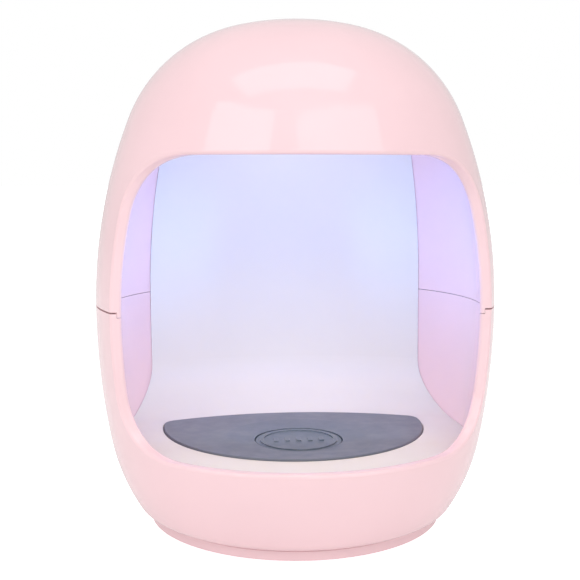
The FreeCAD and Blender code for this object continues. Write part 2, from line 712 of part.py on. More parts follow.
def finger_pad():
    """Half-moon pad with a shallow dish and the button's hole."""
    blank = pad_blank("pad", "0", "pad_low", "pad_high")
    doc.recompute()
    rim = []
    for index, edge in enumerate(blank.Shape.Edges, start=1):
        if all(abs(vertex.Z - cell("pad_high")) < 1e-6 for vertex in edge.Vertexes):
            rim.append((index, cell("pad_round"), cell("pad_round")))
    rounded = doc.addObject("Part::Fillet", "pad_edge")
    rounded.Base = blank
    rounded.Edges = rim
    dish = doc.addObject("Part::Sphere", "pad_dish")
    bind(dish, Radius="dish_radius")
    place(dish, 0, "-1 * button_place", "dish_low + dish_radius")
    hole = cylinder("pad_hole", "button_hole", f"pad_low - {BEYOND}", f"pad_high + {BEYOND}",
                    0, "-1 * button_place")
    return node(cut("pad_cut", rounded, [dish, hole]), "finger_pad")


def start_button():
    """Round button with a raised ring and five plain marks, a flange below the floor and a plunger."""
    y = "-1 * button_place"
    cap = cylinder("button_cap", "button_radius", f"flange_high - {OVERLAP}", "button_high", 0, y)
    doc.recompute()
    rim = []
    for index, edge in enumerate(cap.Shape.Edges, start=1):
        if all(abs(vertex.Z - cell("button_high")) < 1e-6 for vertex in edge.Vertexes):
            rim.append((index, cell("button_round"), cell("button_round")))
    rounded = doc.addObject("Part::Fillet", "button_edge")
    rounded.Base = cap
    rounded.Edges = rim
    flange = cylinder("button_flange", "flange_radius", "flange_low", "flange_high", 0, y)
    plunger = cylinder("button_plunger", "plunger_radius", "plunger_low", f"flange_low + {OVERLAP}", 0, y)
    top = "button_high + mark_height"
    sunk = f"button_high - {OVERLAP}"
    ring = cut("button_ring", cylinder("ring_disc", "ring_outer", sunk, top, 0, y),
               [cylinder("ring_hollow", "ring_inner", f"button_high - {BEYOND}",
                         f"button_high + {BEYOND}", 0, y)])
    marks = []
    for number, step in enumerate(MARKS, start=1):
        marks.append(box(f"button_mark_{number}", f"{step} * mark_pitch - mark_width / 2",
                         f"{step} * mark_pitch + mark_width / 2", f"{y} - mark_length / 2",
                         f"{y} + mark_length / 2", sunk, top))
    return node(joined("button_joined", [rounded, flange, plunger, ring] + marks), "start_button")


def rubber_dome():
    """Silicone dome that lifts the button and carries the contact pill."""
    body = doc.addObject("PartDesign::Body", "dome_body")
    base = cell("board_high")
    foot_in = cell("dome_foot_inner")
    foot_out = cell("dome_foot_outer")
    crown = cell("dome_crown")
    height = cell("dome_height")
    shoulder = height - 0.6
    roof = cell("pill_high") + 0.05
    web = roof + 0.45
    rises = [(foot_in, 0), (foot_out, 0), (foot_out, 0.7), (foot_out - 0.8, 0.7), (crown + 0.8, shoulder),
             (crown, shoulder), (crown, height), (0, height), (0, roof), (crown - 0.4, roof),
             (crown - 0.4, web), (crown + 0.4, web), (foot_in, 0.3), (foot_in, 0)]
    curves = lines([(radius, base + rise) for radius, rise in rises])
    revolved(body, add_sketch(body, "XZ_Plane", curves, "button_place"))
    return node(body, "rubber_dome")


# ---------------------------------------------------------------- main board

def main_board():
    """Board with straight sides and a round rear edge."""
    blank = box("board_blank", "-1 * board_half_width", "board_half_width", "-1 * board_front",
                f"board_edge + {BEYOND}", "board_low", "board_high")
    disc = cylinder("board_disc", "board_edge", "board_low", "board_high")
    holes = [cylinder(f"board_hole_{number}", "screw_hole", f"board_low - {BEYOND}",
                      f"board_high + {BEYOND}", x, y)
             for number, (x, y) in enumerate(board_places(), start=1)]
    return node(cut("board_cut", shared("board_trimmed", [blank, disc]), holes), "main_board")


def switch_contacts():
    """Two gold half-moons under the pill."""
    y = "-1 * button_place"
    disc = cylinder("contact_disc", "contact_radius", "board_high", "board_high + contact_height", 0, y)
    split = box("contact_slit", "-1 * contact_split / 2", "contact_split / 2", f"{y} - 2 * contact_radius",
                f"{y} + 2 * contact_radius", f"board_high - {BEYOND}", f"board_high + {BEYOND}")
    return node(cut("contacts_cut", disc, [split]), "switch_contacts")


def chip_leg(name, x_inner, side, y):
    """Bent leg that leaves a chip sideways and stands on the board."""
    thick = cell("leg_thickness")
    half = cell("leg_width") / 2
    top = f"board_high + chip_height / 2 + {OVERLAP}"
    knee = x_inner + side * (thick + half)
    shoulder = box(name + "_top", min(x_inner, knee), max(x_inner, knee), y - half, y + half,
                   f"{top} - leg_thickness", top)
    shin = box(name + "_shin", min(knee, knee + side * thick), max(knee, knee + side * thick),
               y - half, y + half, "board_high", top)
    toe = box(name + "_toe", min(knee, knee + side * 3 * thick), max(knee, knee + side * 3 * thick),
              y - half, y + half, "board_high", "board_high + leg_thickness")
    return [shoulder, shin, toe]


def timer_chip():
    """Eight-leg chip that starts and times the cure."""
    x = cell("chip_x")
    y = cell("chip_y")
    half = cell("chip_width") / 2
    pieces = [box("chip_body", "chip_x - chip_width / 2", "chip_x + chip_width / 2",
                  "chip_y - chip_length / 2", "chip_y + chip_length / 2",
                  "board_high + chip_lift", "board_high + chip_height")]
    for side in SIGNS:
        for number, step in enumerate(CHIP_ROWS, start=1):
            pieces += chip_leg(f"chip_leg_{side + 1}_{number}", x + side * (half - OVERLAP), side,
                               y + step * cell("chip_pitch"))
    return node(joined("chip_joined", pieces), "timer_chip")


def driver_transistor():
    """Power transistor that switches the LEDs: a block, a tab behind it and two legs in front."""
    rear = "transistor_y + transistor_length / 2"
    front = "transistor_y - transistor_length / 2"
    flat = "board_high + tab_height"
    pieces = [box("transistor_body", "transistor_x - transistor_width / 2",
                  "transistor_x + transistor_width / 2", front, rear, "board_high",
                  "board_high + transistor_height"),
              box("transistor_back", "transistor_x - transistor_tab / 2", "transistor_x + transistor_tab / 2",
                  f"{rear} - {OVERLAP}", f"{rear} + transistor_length / 5", "board_high", flat)]
    for side in SIGNS:
        middle = f"transistor_x + {side} * transistor_width * 0.36"
        pieces.append(box(f"transistor_leg_{side + 1}", f"{middle} - leg_width", f"{middle} + leg_width",
                          f"{front} - transistor_length / 3", f"{front} + {OVERLAP}", "board_high", flat))
    return node(joined("transistor_joined", pieces), "driver_transistor")


def smoothing_capacitor():
    """Upright can on a square base."""
    half = "capacitor_base / 2"
    base = box("capacitor_foot", f"capacitor_x - {half}", f"capacitor_x + {half}", f"capacitor_y - {half}",
               f"capacitor_y + {half}", "board_high", "board_high + capacitor_base_high")
    can = cylinder("capacitor_can", "capacitor_radius", f"board_high + capacitor_base_high - {OVERLAP}",
                   "board_high + capacitor_height", "capacitor_x", "capacitor_y")
    return node(joined("capacitor_joined", [base, can]), "smoothing_capacitor")


def limit_resistors():
    """Four chip resistors in a row."""
    items = []
    for step in range(4):
        y = f"resistor_y + {step} * resistor_pitch"
        items.append(box(f"resistor_{step + 1}", "resistor_x", "resistor_x + resistor_length", y,
                         f"{y} + resistor_width", "board_high", "board_high + resistor_height"))
    return node(group("resistors", items), "limit_resistors")


def usb_socket():
    """Metal USB socket at the rear edge, and its tongue."""
    half = "socket_width / 2"
    top = "board_high + socket_height"
    block = box("socket_block", f"-1 * {half}", half, "socket_rear", "socket_mouth", "board_high", top)
    hollow = box("socket_hollow", f"-1 * {half} + socket_wall", f"{half} - socket_wall",
                 "socket_rear + socket_wall", f"socket_mouth + {BEYOND}", "board_high + socket_wall",
                 f"{top} - socket_wall")
    node(cut("socket_cut", block, [hollow]), "usb_shell")
    node(box("socket_tongue", "-1 * tongue_half", "tongue_half", "socket_rear + socket_wall",
             "socket_mouth - tongue_recess", "board_high + tongue_floor", "board_high + tongue_roof"),
         "usb_tongue")


def lead_connector():
    """Two-pin header that opens to the rear, and the plug in it."""
    inside = "header_half_width - header_side_wall"
    back = "header_front + header_back_wall"
    header = box("header_block", "lead_plug_x - header_half_width", "lead_plug_x + header_half_width",
                 "header_front", "header_rear", "board_high", "board_high + header_height")
    hollow = box("header_hollow", f"lead_plug_x - ({inside})", f"lead_plug_x + {inside}", back,
                 f"header_rear + {BEYOND}", "board_high + header_floor", "board_high + header_roof")
    node(cut("header_cut", header, [hollow]), "lead_header")
    node(box("plug_block", f"lead_plug_x - ({inside}) + plug_clearance",
             f"lead_plug_x + {inside} - plug_clearance", f"{back} + 2 * plug_clearance", "plug_rear",
             "board_high + header_floor + plug_clearance", "board_high + header_roof - plug_clearance"),
         "lead_plug")


# ---------------------------------------------------------------- ceiling

def led_holder():
    """White ceiling plate with holes for the LEDs, its screws and the leads."""
    plate = cylinder("holder_plate", "holder_radius", "holder_low", "holder_high")
    below = f"holder_low - {BEYOND}"
    above = f"holder_high + {BEYOND}"
    tools = [box("holder_notch", "notch_left", "notch_right", "notch_front", "egg_radius", below, above)]
    for step in range(LED_COUNT):
        angle = 360 / LED_COUNT * step + 30
        tools.append(cylinder(f"holder_window_{step + 1}", "led_hole", below, above,
                              f"led_place * cos({angle} deg)", f"led_place * sin({angle} deg)"))
    for angle in POST_ANGLES:
        tools.append(cylinder(f"holder_hole_{angle}", "holder_screw_hole", below, above,
                              f"post_place * cos({angle} deg)", f"post_place * sin({angle} deg)"))
    for side in SIGNS:
        tools.append(cylinder(f"holder_pilot_{side + 1}", "small_pilot", "holder_low + pilot_skin", above,
                              f"{side} * led_screw_x", 0))
    return node(cut("holder_cut", plate, tools), "led_holder")


def led_board():
    """Round aluminium board on top of the ceiling plate."""
    disc = cylinder("led_disc", "led_board_radius", "holder_high", "led_board_high")
    holes = [cylinder(f"led_board_hole_{side + 1}", "screw_hole", f"holder_high - {BEYOND}",
                      f"led_board_high + {BEYOND}", f"{side} * led_screw_x", 0) for side in SIGNS]
    return node(cut("led_board_cut", disc, holes), "led_board")


def led_beads():
    """LEDs on the board's underside: a square base and a domed lens that looks down."""
    for step in range(LED_COUNT):
        angle = 360 / LED_COUNT * step + 30
        x = f"led_place * cos({angle} deg)"
        y = f"led_place * sin({angle} deg)"
        base = box(f"led_base_{step + 1}", f"{x} - led_size / 2", f"{x} + led_size / 2",
                   f"{y} - led_size / 2", f"{y} + led_size / 2", "holder_high - led_base", "holder_high")
        lens = doc.addObject("Part::Sphere", f"led_lens_{step + 1}")
        lens.Angle2 = 0
        bind(lens, Radius="led_dome")
        place(lens, x, y, "holder_high - led_base")
        node(joined(f"led_joined_{step + 1}", [base, lens]), f"led_bead_{step + 1}")


# ---------------------------------------------------------------- screws and leads

def screw(name, x, y, level, length, shank, head, up):
    """Pan-head screw with a cross: the head's bearing face is at level, the shank is above it or below it."""
    way = 1 if up else -1
    outside = f"({level}) - {way} * head_height"
    inside = f"({level}) - {way} * (head_height - slot_depth)"
    root = f"({level}) - {way * OVERLAP}"
    tip = f"({level}) + {way} * {length}"
    shank_levels = (root, tip) if up else (tip, root)
    head_levels = (outside, level) if up else (level, outside)
    cross_levels = (outside, inside) if up else (inside, outside)
    blank = joined(name + "_blank", [cylinder(name + "_head", head, *head_levels, x, y),
                                     cylinder(name + "_shank", shank, *shank_levels, x, y)])
    cross = [box(name + "_slot_a", f"{x} - slot_reach", f"{x} + slot_reach",
                 f"{y} - slot_half", f"{y} + slot_half", *cross_levels),
             box(name + "_slot_b", f"{x} - slot_half", f"{x} + slot_half",
                 f"{y} - slot_reach", f"{y} + slot_reach", *cross_levels)]
    return cut(name, blank, cross)


def screws():
    """The four sets of screws."""
    floor_set = [screw(f"floor_screw_{number}", x, y, "bottom_low + sink_depth", "floor_screw_length",
                       "screw_radius", "screw_head", True)
                 for number, (x, y) in enumerate(floor_places(), start=1)]
    node(group("floor_set", floor_set), "floor_screws")
    board_set = [screw(f"board_screw_{number}", x, y, "board_high", "board_screw_length",
                       "small_screw", "small_head", False)
                 for number, (x, y) in enumerate(board_places(), start=1)]
    node(group("board_set", board_set), "board_screws")
    holder_set = [screw(f"holder_screw_{angle}", f"post_place * cos({angle} deg)",
                        f"post_place * sin({angle} deg)", "holder_low", "holder_screw_length",
                        "screw_radius", "screw_head", True) for angle in POST_ANGLES]
    node(group("holder_set", holder_set), "holder_screws")
    led_set = [screw(f"led_screw_{side + 1}", f"{side} * led_screw_x", 0, "led_board_high",
                     "led_screw_length", "small_screw", "small_head", False) for side in SIGNS]
    node(group("led_set", led_set), "led_board_screws")


def lead_route():
    """Corners of the leads' path, as (y, z): plug, behind the liner, over the ceiling plate, LED board."""
    plug = cell("board_high") + 2.4
    end = cell("led_board_high")
    return [(21.6, plug), (26.0, plug), (30.3, plug + 4.6), (32.5, plug + 12.8), (33.3, plug + 22.8),
            (33.5, plug + 33.4), (32.9, plug + 43.9), (31.6, plug + 53.4), (28.6, plug + 61.9),
            (23.6, plug + 68.4), (16.8, end + 7.7), (11.8, end + 7.2), (9.0, end + 4.6), (9.0, end)]


def lead(label, x):
    """Insulated lead: straight runs joined by tangent arcs."""
    corners = [FreeCAD.Vector(x, y, z) for y, z in lead_route()]
    edges = []
    radii = []
    start = corners[0]
    for before, corner, after in zip(corners, corners[1:], corners[2:]):
        back = before - corner
        ahead = after - corner
        turn = math.pi - back.getAngle(ahead)
        setback = 0.45 * min(back.Length, ahead.Length)
        radii.append(setback / math.tan(turn / 2))
        back.normalize()
        ahead.normalize()
        arc_start = corner + back * setback
        arc_end = corner + ahead * setback
        inward = back + ahead
        inward.normalize()
        middle = corner + inward * (radii[-1] / math.cos(turn / 2) - radii[-1])
        edges.append(Part.LineSegment(start, arc_start).toShape())
        edges.append(Part.Arc(arc_start, middle, arc_end).toShape())
        start = arc_end
    edges.append(Part.LineSegment(start, corners[-1]).toShape())
    path = Part.Wire(edges)
    radius = cell("lead_radius")
    ring = Part.Wire(Part.Circle(corners[0], corners[1] - corners[0], radius).toShape())
    item = doc.addObject("Part::Feature", label + "_tube")
    item.Shape = path.makePipeShell([ring], True, False)
    item.Placement = FreeCAD.Placement()
    expected = math.pi * radius ** 2 * path.Length
    print(label, "bend radii", [round(value, 1) for value in radii], "length", round(path.Length, 1),
          "volume", round(item.Shape.Volume, 2), "of", round(expected, 2))
    return node(item, label)


# ---------------------------------------------------------------- the lamp

upper_shell()
lower_shell()
reflector_scoop()
finger_pad()
start_button()
rubber_dome()
node(cylinder("pill", "pill_radius", "board_high + pill_low", "board_high + pill_high",
              0, "-1 * button_place"), "carbon_pill")
main_board()
switch_contacts()
timer_chip()
driver_transistor()
smoothing_capacitor()
limit_resistors()
usb_socket()
lead_connector()
led_holder()
led_board()
led_beads()
screws()
lead("lead_red", cell("lead_plug_x") - cell("lead_pitch") / 2)
lead("lead_black", cell("lead_plug_x") + cell("lead_pitch") / 2)
node(cylinder("rest_disc", "base_pad_radius", 0, "bottom_low"), "base_pad")
doc.recompute()

for item in doc.Objects:
    if "Invalid" in item.State or "Error" in item.State:
        raise ValueError(f"{item.Name} failed: {item.State}")
for item in nodes:
    if item.Shape.isNull() or not item.Shape.isValid():
        raise ValueError(f"{item.Label} has no valid shape")

os.makedirs("parts", exist_ok=True)
for item in nodes:
    item.Shape.exportStep(f"parts/{item.Label}.step")
    print(item.Label, "solids", len(item.Shape.Solids), "volume", round(item.Shape.Volume, 1))
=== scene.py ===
import json
import math

import bmesh
import bpy
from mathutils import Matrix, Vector


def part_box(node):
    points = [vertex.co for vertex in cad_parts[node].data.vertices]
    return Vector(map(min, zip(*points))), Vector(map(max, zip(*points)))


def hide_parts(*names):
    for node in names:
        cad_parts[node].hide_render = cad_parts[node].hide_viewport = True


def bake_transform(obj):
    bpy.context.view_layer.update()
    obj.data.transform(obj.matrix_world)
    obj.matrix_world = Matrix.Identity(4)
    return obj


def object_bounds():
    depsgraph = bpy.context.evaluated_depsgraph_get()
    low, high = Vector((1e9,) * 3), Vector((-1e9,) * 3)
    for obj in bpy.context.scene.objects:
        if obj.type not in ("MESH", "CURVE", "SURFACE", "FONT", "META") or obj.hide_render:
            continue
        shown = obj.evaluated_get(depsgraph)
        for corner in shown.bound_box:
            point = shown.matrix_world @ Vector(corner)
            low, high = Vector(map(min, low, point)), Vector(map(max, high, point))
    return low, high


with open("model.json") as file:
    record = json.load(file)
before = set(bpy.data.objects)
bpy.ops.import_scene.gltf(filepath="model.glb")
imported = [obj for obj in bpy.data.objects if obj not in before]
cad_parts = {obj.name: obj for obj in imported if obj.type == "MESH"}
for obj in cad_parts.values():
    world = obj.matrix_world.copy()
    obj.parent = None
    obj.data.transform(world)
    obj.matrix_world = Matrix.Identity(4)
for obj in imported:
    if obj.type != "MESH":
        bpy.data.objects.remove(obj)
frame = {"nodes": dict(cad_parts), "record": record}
cad_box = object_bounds()
nodes = frame["nodes"]
slots = {part["node"]: part["material_slot"] for part in frame["record"]["subparts"]}

MM = 0.001


# ---------------------------------------------------------------- camera

CAMERA_TURN = math.radians(5.0)
CAMERA_PITCH = math.radians(6.83)
CAMERA_DISTANCE = 198.2 * MM
CAMERA_HEIGHT = 68.4 * MM
CAMERA_LEFT = 1.0 * MM
CLIP_START = 10 * MM

# Focal length and sensor width in millimetres, as Blender takes them
LENS = 62.24
SENSOR = 36.0


def make_camera():
    """Camera in front of the lamp, a little to its left and above the middle, looking slightly down."""
    data = bpy.data.cameras.new("camera")
    data.lens = LENS
    data.sensor_width = SENSOR
    data.clip_start = CLIP_START
    camera = bpy.data.objects.new("camera", data)
    ahead = Vector((math.sin(CAMERA_TURN), math.cos(CAMERA_TURN), 0))
    right = Vector((ahead.y, -ahead.x, 0))
    camera.location = -ahead * CAMERA_DISTANCE - right * CAMERA_LEFT + Vector((0, 0, CAMERA_HEIGHT))
    camera.rotation_euler = (math.pi / 2 - CAMERA_PITCH, 0, -CAMERA_TURN)
    bpy.context.scene.collection.objects.link(camera)
    bpy.context.scene.camera = camera


# ---------------------------------------------------------------- nodes of materials and of the world

WHITE = (1.0, 1.0, 1.0, 1)

# Parts of a noise texture's range, nearly all of which lies between 0.3 and 0.7
NOISE_RANGE = (0.3, 0.7)
CLOUD_RANGE = (0.35, 0.65)
PATCH_RANGE = (0.4, 0.65)
DUST_RANGE = (0.5, 0.75)

# How far the bevelled and the plain normal agree, from an open surface to a sharp edge
EDGE_RANGE = (0.99, 0.85)
BEVEL_SAMPLES = 4
PATCH_SIZE = 1.2 * MM
LEAST_WEAR = 0.3


class NodeTree:
    """Short ways to add nodes to the tree of a material or a world."""

    def __init__(self, tree):
        self.tree = tree

    def add(self, kind, **values):
        """New node with plain socket values."""
        node = self.tree.nodes.new(kind)
        for socket, value in values.items():
            node.inputs[socket.replace("_", " ")].default_value = value
        return node

    def link(self, output, socket):
        self.tree.links.new(output, socket)

    def feed(self, value, socket):
        """Set a number or a colour, or link an output that carries one."""
        if isinstance(value, bpy.types.NodeSocket):
            self.link(value, socket)
        elif isinstance(value, float):
            socket.default_value = value
        else:
            socket.default_value = (*value, 1)

    def spread(self, value, low, high, to_low=0.0, to_high=1.0):
        """Value moved from one range to another and kept inside it."""
        node = self.add("ShaderNodeMapRange", From_Min=low, From_Max=high, To_Min=to_low, To_Max=to_high)
        self.link(value, node.inputs["Value"])
        return node.outputs["Result"]

    def mix(self, amount, first, second, kind="RGBA"):
        """Colour between two colours, or with the kind FLOAT a number between two numbers."""
        node = self.tree.nodes.new("ShaderNodeMix")
        node.data_type = kind
        self.link(amount, node.inputs[0])
        self.feed(first, node.inputs["A"])
        self.feed(second, node.inputs["B"])
        return node.outputs["Result"]

    def calc(self, operation, first, second):
        """Math node. The second value is an output or a number."""
        node = self.tree.nodes.new("ShaderNodeMath")
        node.operation = operation
        self.link(first, node.inputs[0])
        self.feed(second, node.inputs[1])
        return node.outputs[0]


class Shader(NodeTree):
    """A material with its Principled shader."""

    def __init__(self, name):
        self.material = bpy.data.materials.new(name)
        self.material.use_nodes = True
        super().__init__(self.material.node_tree)
        self.shader = self.tree.nodes["Principled BSDF"]
        self.place = self.add("ShaderNodeTexCoord").outputs["Object"]

    def noise(self, size, detail=3.0, stretch=None):
        """Noise whose cells are about size metres across, with its coordinates stretched if asked."""
        texture = self.add("ShaderNodeTexNoise", Scale=1 / size, Detail=detail)
        source = self.place
        if stretch:
            mapping = self.add("ShaderNodeMapping", Scale=stretch)
            self.link(source, mapping.inputs["Vector"])
            source = mapping.outputs["Vector"]
        self.link(source, texture.inputs["Vector"])
        return texture.outputs["Fac"]

    def edges(self, radius):
        """1 on sharp edges, 0 on open surfaces."""
        bevel = self.add("ShaderNodeBevel", Radius=radius)
        bevel.samples = BEVEL_SAMPLES
        geometry = self.add("ShaderNodeNewGeometry")
        dot = self.add("ShaderNodeVectorMath")
        dot.operation = "DOT_PRODUCT"
        self.link(bevel.outputs["Normal"], dot.inputs[0])
        self.link(geometry.outputs["Normal"], dot.inputs[1])
        return self.spread(dot.outputs["Value"], *EDGE_RANGE)

    def height(self):
        """Height above the resting face, in metres."""
        split = self.add("ShaderNodeSeparateXYZ")
        self.link(self.place, split.inputs[0])
        return split.outputs["Z"]

    def from_button(self, near, far):
        """0 within the distance near of the button's middle, 1 beyond far."""
        low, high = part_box("start_button")
        gap = self.add("ShaderNodeVectorMath")
        gap.operation = "DISTANCE"
        self.link(self.place, gap.inputs[0])
        gap.inputs[1].default_value = (low + high) / 2
        return self.spread(gap.outputs["Value"], near, far)

    def clouded(self, colour, variation, size):
        """Colour that drifts a little lighter and darker over the surface."""
        dark = [channel * (1 - variation) for channel in colour]
        light = [min(1.0, channel * (1 + variation)) for channel in colour]
        return self.mix(self.spread(self.noise(size), *CLOUD_RANGE), dark, light)

    def worn(self, colour, bare, amount, radius):
        """Colour that turns towards bare on the edges, in patches."""
        patches = self.spread(self.noise(PATCH_SIZE), *PATCH_RANGE, to_low=LEAST_WEAR)
        edge = self.calc("MULTIPLY", self.edges(radius), patches)
        return self.mix(self.calc("MULTIPLY", edge, amount), colour, bare)

    def roughness(self, middle, swing, size):
        """Uneven roughness."""
        value = self.spread(self.noise(size), *NOISE_RANGE, middle - swing, middle + swing)
        self.link(value, self.shader.inputs["Roughness"])

    def relief(self, height, strength, distance):
        """Bump from a height."""
        bump = self.add("ShaderNodeBump", Strength=strength, Distance=distance)
        self.link(height, bump.inputs["Height"])
        self.link(bump.outputs["Normal"], self.shader.inputs["Normal"])

    def colour(self, colour):
        self.feed(colour, self.shader.inputs["Base Color"])

    def set(self, **values):
        """Uniform values straight on the shader."""
        for socket, value in values.items():
            self.shader.inputs[socket.replace("_", " ")].default_value = value


# ---------------------------------------------------------------- materials

# Shares of red, green and blue that the slate keeps beside the button, a painted shade that is darker and a
# little bluer there
PAINTED_SHADE_BESIDE_BUTTON = (0.75, 0.83, 0.88)

DUST_TINT = 0.06
BRIGHT_METAL = (0.85, 0.85, 0.86)
TRACK_PITCH = 4 * MM
LED_PACKAGE = 0.8 * MM
LENS_GLOW = 4.0


def pink_shell():
    """Glossy pale pink plastic with a faint ripple in the gloss and paler, rubbed edges."""
    look = Shader("pink_shell")
    pink = look.clouded((0.848, 0.603, 0.632), variation=0.012, size=18 * MM)
    look.colour(look.worn(pink, bare=(0.91, 0.69, 0.71), amount=0.5, radius=0.35 * MM))
    look.roughness(0.085, swing=0.025, size=7 * MM)
    look.relief(look.noise(1.6 * MM, detail=1.0), strength=0.05, distance=0.05 * MM)
    look.set(IOR=1.48)
    return look.material


def white_liner():
    """Satin white plastic with a fine grain and paler edges."""
    look = Shader("white_liner")
    white = look.clouded((0.745, 0.695, 0.66), variation=0.008, size=15 * MM)
    look.colour(look.worn(white, bare=(0.95, 0.95, 0.95), amount=0.4, radius=0.3 * MM))
    look.roughness(0.42, swing=0.06, size=5 * MM)
    look.relief(look.noise(0.35 * MM, detail=2.0), strength=0.08, distance=0.03 * MM)
    return look.material


def slate(name, colour):
    """Satin slate grey plastic with a fine spark-eroded grain, and painted shade, darker and a little bluer,
    on and around the button.
    """
    look = Shader(name)
    # Painted shade: within reach of the button the slate turns darker and a little bluer
    painted_shade = [channel * share for channel, share in zip(colour, PAINTED_SHADE_BESIDE_BUTTON)]
    outer = look.from_button(near=9 * MM, far=22 * MM)
    whole = look.mix(outer, painted_shade, look.clouded(colour, variation=0.04, size=6 * MM))
    look.colour(look.worn(whole, bare=(0.33, 0.35, 0.42), amount=0.5, radius=0.3 * MM))
    look.roughness(0.4, swing=0.06, size=3 * MM)
    look.relief(look.noise(0.22 * MM), strength=0.25, distance=0.03 * MM)
    return look.material


def grey_pad():
    return slate("grey_pad", (0.136, 0.146, 0.184))


def grey_button():
    return slate("grey_button", (0.12, 0.137, 0.172))


def rubber(name, colour, grain, roughness):
    """Matt rubber with fine grain and dusty patches."""
    look = Shader(name)
    dusty = [channel + DUST_TINT for channel in colour]
    dust = look.spread(look.noise(2.5 * MM), *DUST_RANGE, to_high=0.6)
    look.colour(look.mix(dust, look.clouded(colour, variation=0.1, size=1.5 * MM), dusty))
    look.roughness(roughness, swing=0.08, size=1.5 * MM)
    look.relief(look.noise(grain), strength=0.4, distance=0.04 * MM)
    return look


def base_rubber():
    return rubber("base_rubber", (0.03, 0.03, 0.033), grain=0.25 * MM, roughness=0.75).material


def carbon():
    return rubber("carbon", (0.015, 0.015, 0.016), grain=0.1 * MM, roughness=0.6).material


def silicone():
    """Milky silicone, a little translucent."""
    look = rubber("silicone", (0.62, 0.62, 0.58), grain=0.3 * MM, roughness=0.45)
    look.set(Subsurface_Weight=0.3, Subsurface_Scale=0.6 * MM)
    return look.material


def circuit_board():
    """Green solder mask over copper tracks, with bare glass-fibre edges."""
    look = Shader("circuit_board")
    tracks = look.add("ShaderNodeTexBrick", Scale=1 / TRACK_PITCH, Mortar_Size=0.09, Mortar_Smooth=0.2)
    look.link(look.place, tracks.inputs["Vector"])
    copper = tracks.outputs["Fac"]
    green = look.clouded((0.012, 0.12, 0.045), variation=0.1, size=3 * MM)
    mask = look.mix(copper, green, (0.04, 0.24, 0.09))
    look.colour(look.worn(mask, bare=(0.5, 0.5, 0.3), amount=0.8, radius=0.15 * MM))
    look.roughness(0.3, swing=0.06, size=2 * MM)
    look.relief(look.calc("ADD", copper, look.noise(0.4 * MM)), strength=0.4, distance=0.03 * MM)
    return look.material


def led_aluminium():
    """White solder mask on an aluminium board, bare metal on its edges."""
    look = Shader("led_aluminium")
    white = look.clouded((0.8, 0.8, 0.79), variation=0.03, size=3 * MM)
    look.colour(look.worn(white, bare=(0.55, 0.55, 0.57), amount=0.9, radius=0.15 * MM))
    look.roughness(0.35, swing=0.06, size=2 * MM)
    look.relief(look.noise(0.5 * MM), strength=0.1, distance=0.02 * MM)
    return look.material


def metal(name, colour, roughness, brushed, bare):
    """Metal with fine drawing lines and edges rubbed bright."""
    look = Shader(name)
    swing = 0.07
    lines = look.noise(0.25 * MM, stretch=brushed)
    clouded = look.clouded(colour, variation=0.07, size=1.5 * MM)
    look.colour(look.worn(clouded, bare, amount=0.6, radius=0.1 * MM))
    uneven = look.spread(lines, *NOISE_RANGE, roughness - swing, roughness + swing)
    look.link(uneven, look.shader.inputs["Roughness"])
    look.relief(lines, strength=0.15, distance=0.01 * MM)
    look.set(Metallic=1.0)
    return look.material


def gold():
    return metal("gold", (0.8, 0.58, 0.2), roughness=0.25, brushed=(1, 1, 1), bare=(0.95, 0.8, 0.5))


def capacitor_can():
    return metal("capacitor_can", (0.6, 0.6, 0.62), roughness=0.28, brushed=(0.2, 0.2, 4), bare=BRIGHT_METAL)


def socket_metal():
    return metal("socket_metal", (0.58, 0.58, 0.6), roughness=0.25, brushed=(4, 0.3, 4), bare=BRIGHT_METAL)


def screw_steel():
    return metal("screw_steel", (0.5, 0.5, 0.53), roughness=0.3, brushed=(1, 1, 5), bare=(0.8, 0.8, 0.82))


def moulded(name, colour, roughness, grain):
    """Plain moulded part: clouded colour, uneven roughness, fine grain and paler edges."""
    look = Shader(name)
    paler = 0.3
    pale = [channel + (1 - channel) * paler for channel in colour]
    clouded = look.clouded(colour, variation=0.06, size=2 * MM)
    look.colour(look.worn(clouded, bare=pale, amount=0.5, radius=0.12 * MM))
    look.roughness(roughness, swing=0.07, size=1 * MM)
    look.relief(look.noise(grain, detail=2.0), strength=0.2, distance=0.02 * MM)
    return look.material


def black_epoxy():
    return moulded("black_epoxy", (0.018, 0.018, 0.02), roughness=0.45, grain=0.15 * MM)


def connector_plastic():
    return moulded("connector_plastic", (0.78, 0.75, 0.66), roughness=0.4, grain=0.3 * MM)


def red_insulation():
    return moulded("red_insulation", (0.5, 0.015, 0.015), roughness=0.4, grain=0.5 * MM)


def black_insulation():
    return moulded("black_insulation", (0.015, 0.015, 0.016), roughness=0.4, grain=0.5 * MM)


def led_lens():
    """White LED package above, and below it a clear lens over a lit violet die."""
    look = Shader("led_lens")
    hair = 0.02 * MM
    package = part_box("led_board")[0].z - LED_PACKAGE
    in_lens = look.calc("LESS_THAN", look.height(), package - hair)
    white = look.clouded((0.8, 0.8, 0.76), variation=0.04, size=1 * MM)
    look.colour(look.mix(in_lens, white, (0.55, 0.5, 0.95)))
    look.roughness(0.12, swing=0.04, size=1 * MM)
    look.relief(look.noise(0.5 * MM), strength=0.05, distance=0.01 * MM)
    uneven = look.spread(look.noise(0.8 * MM), *NOISE_RANGE, to_low=0.8, to_high=1.2)
    glow = look.calc("MULTIPLY", uneven, in_lens)
    look.link(look.calc("MULTIPLY", glow, LENS_GLOW), look.shader.inputs["Emission Strength"])
    look.set(Emission_Color=(0.42, 0.33, 1.0, 1))
    return look.material


# Each finish is named after the material slot that it fills
FINISHES = (
    pink_shell, white_liner, grey_pad, grey_button, base_rubber, carbon, silicone, circuit_board, gold,
    black_epoxy, capacitor_can, socket_metal, connector_plastic, led_aluminium, led_lens, screw_steel,
    red_insulation, black_insulation,
)
materials = {finish.__name__: finish() for finish in FINISHES}


def dress_nodes():
    """Give every CAD node the material of its slot."""
    for name, item in nodes.items():
        if not item.material_slots:
            item.data.materials.append(None)
        for slot in item.material_slots:
            slot.material = materials[slots[name]]


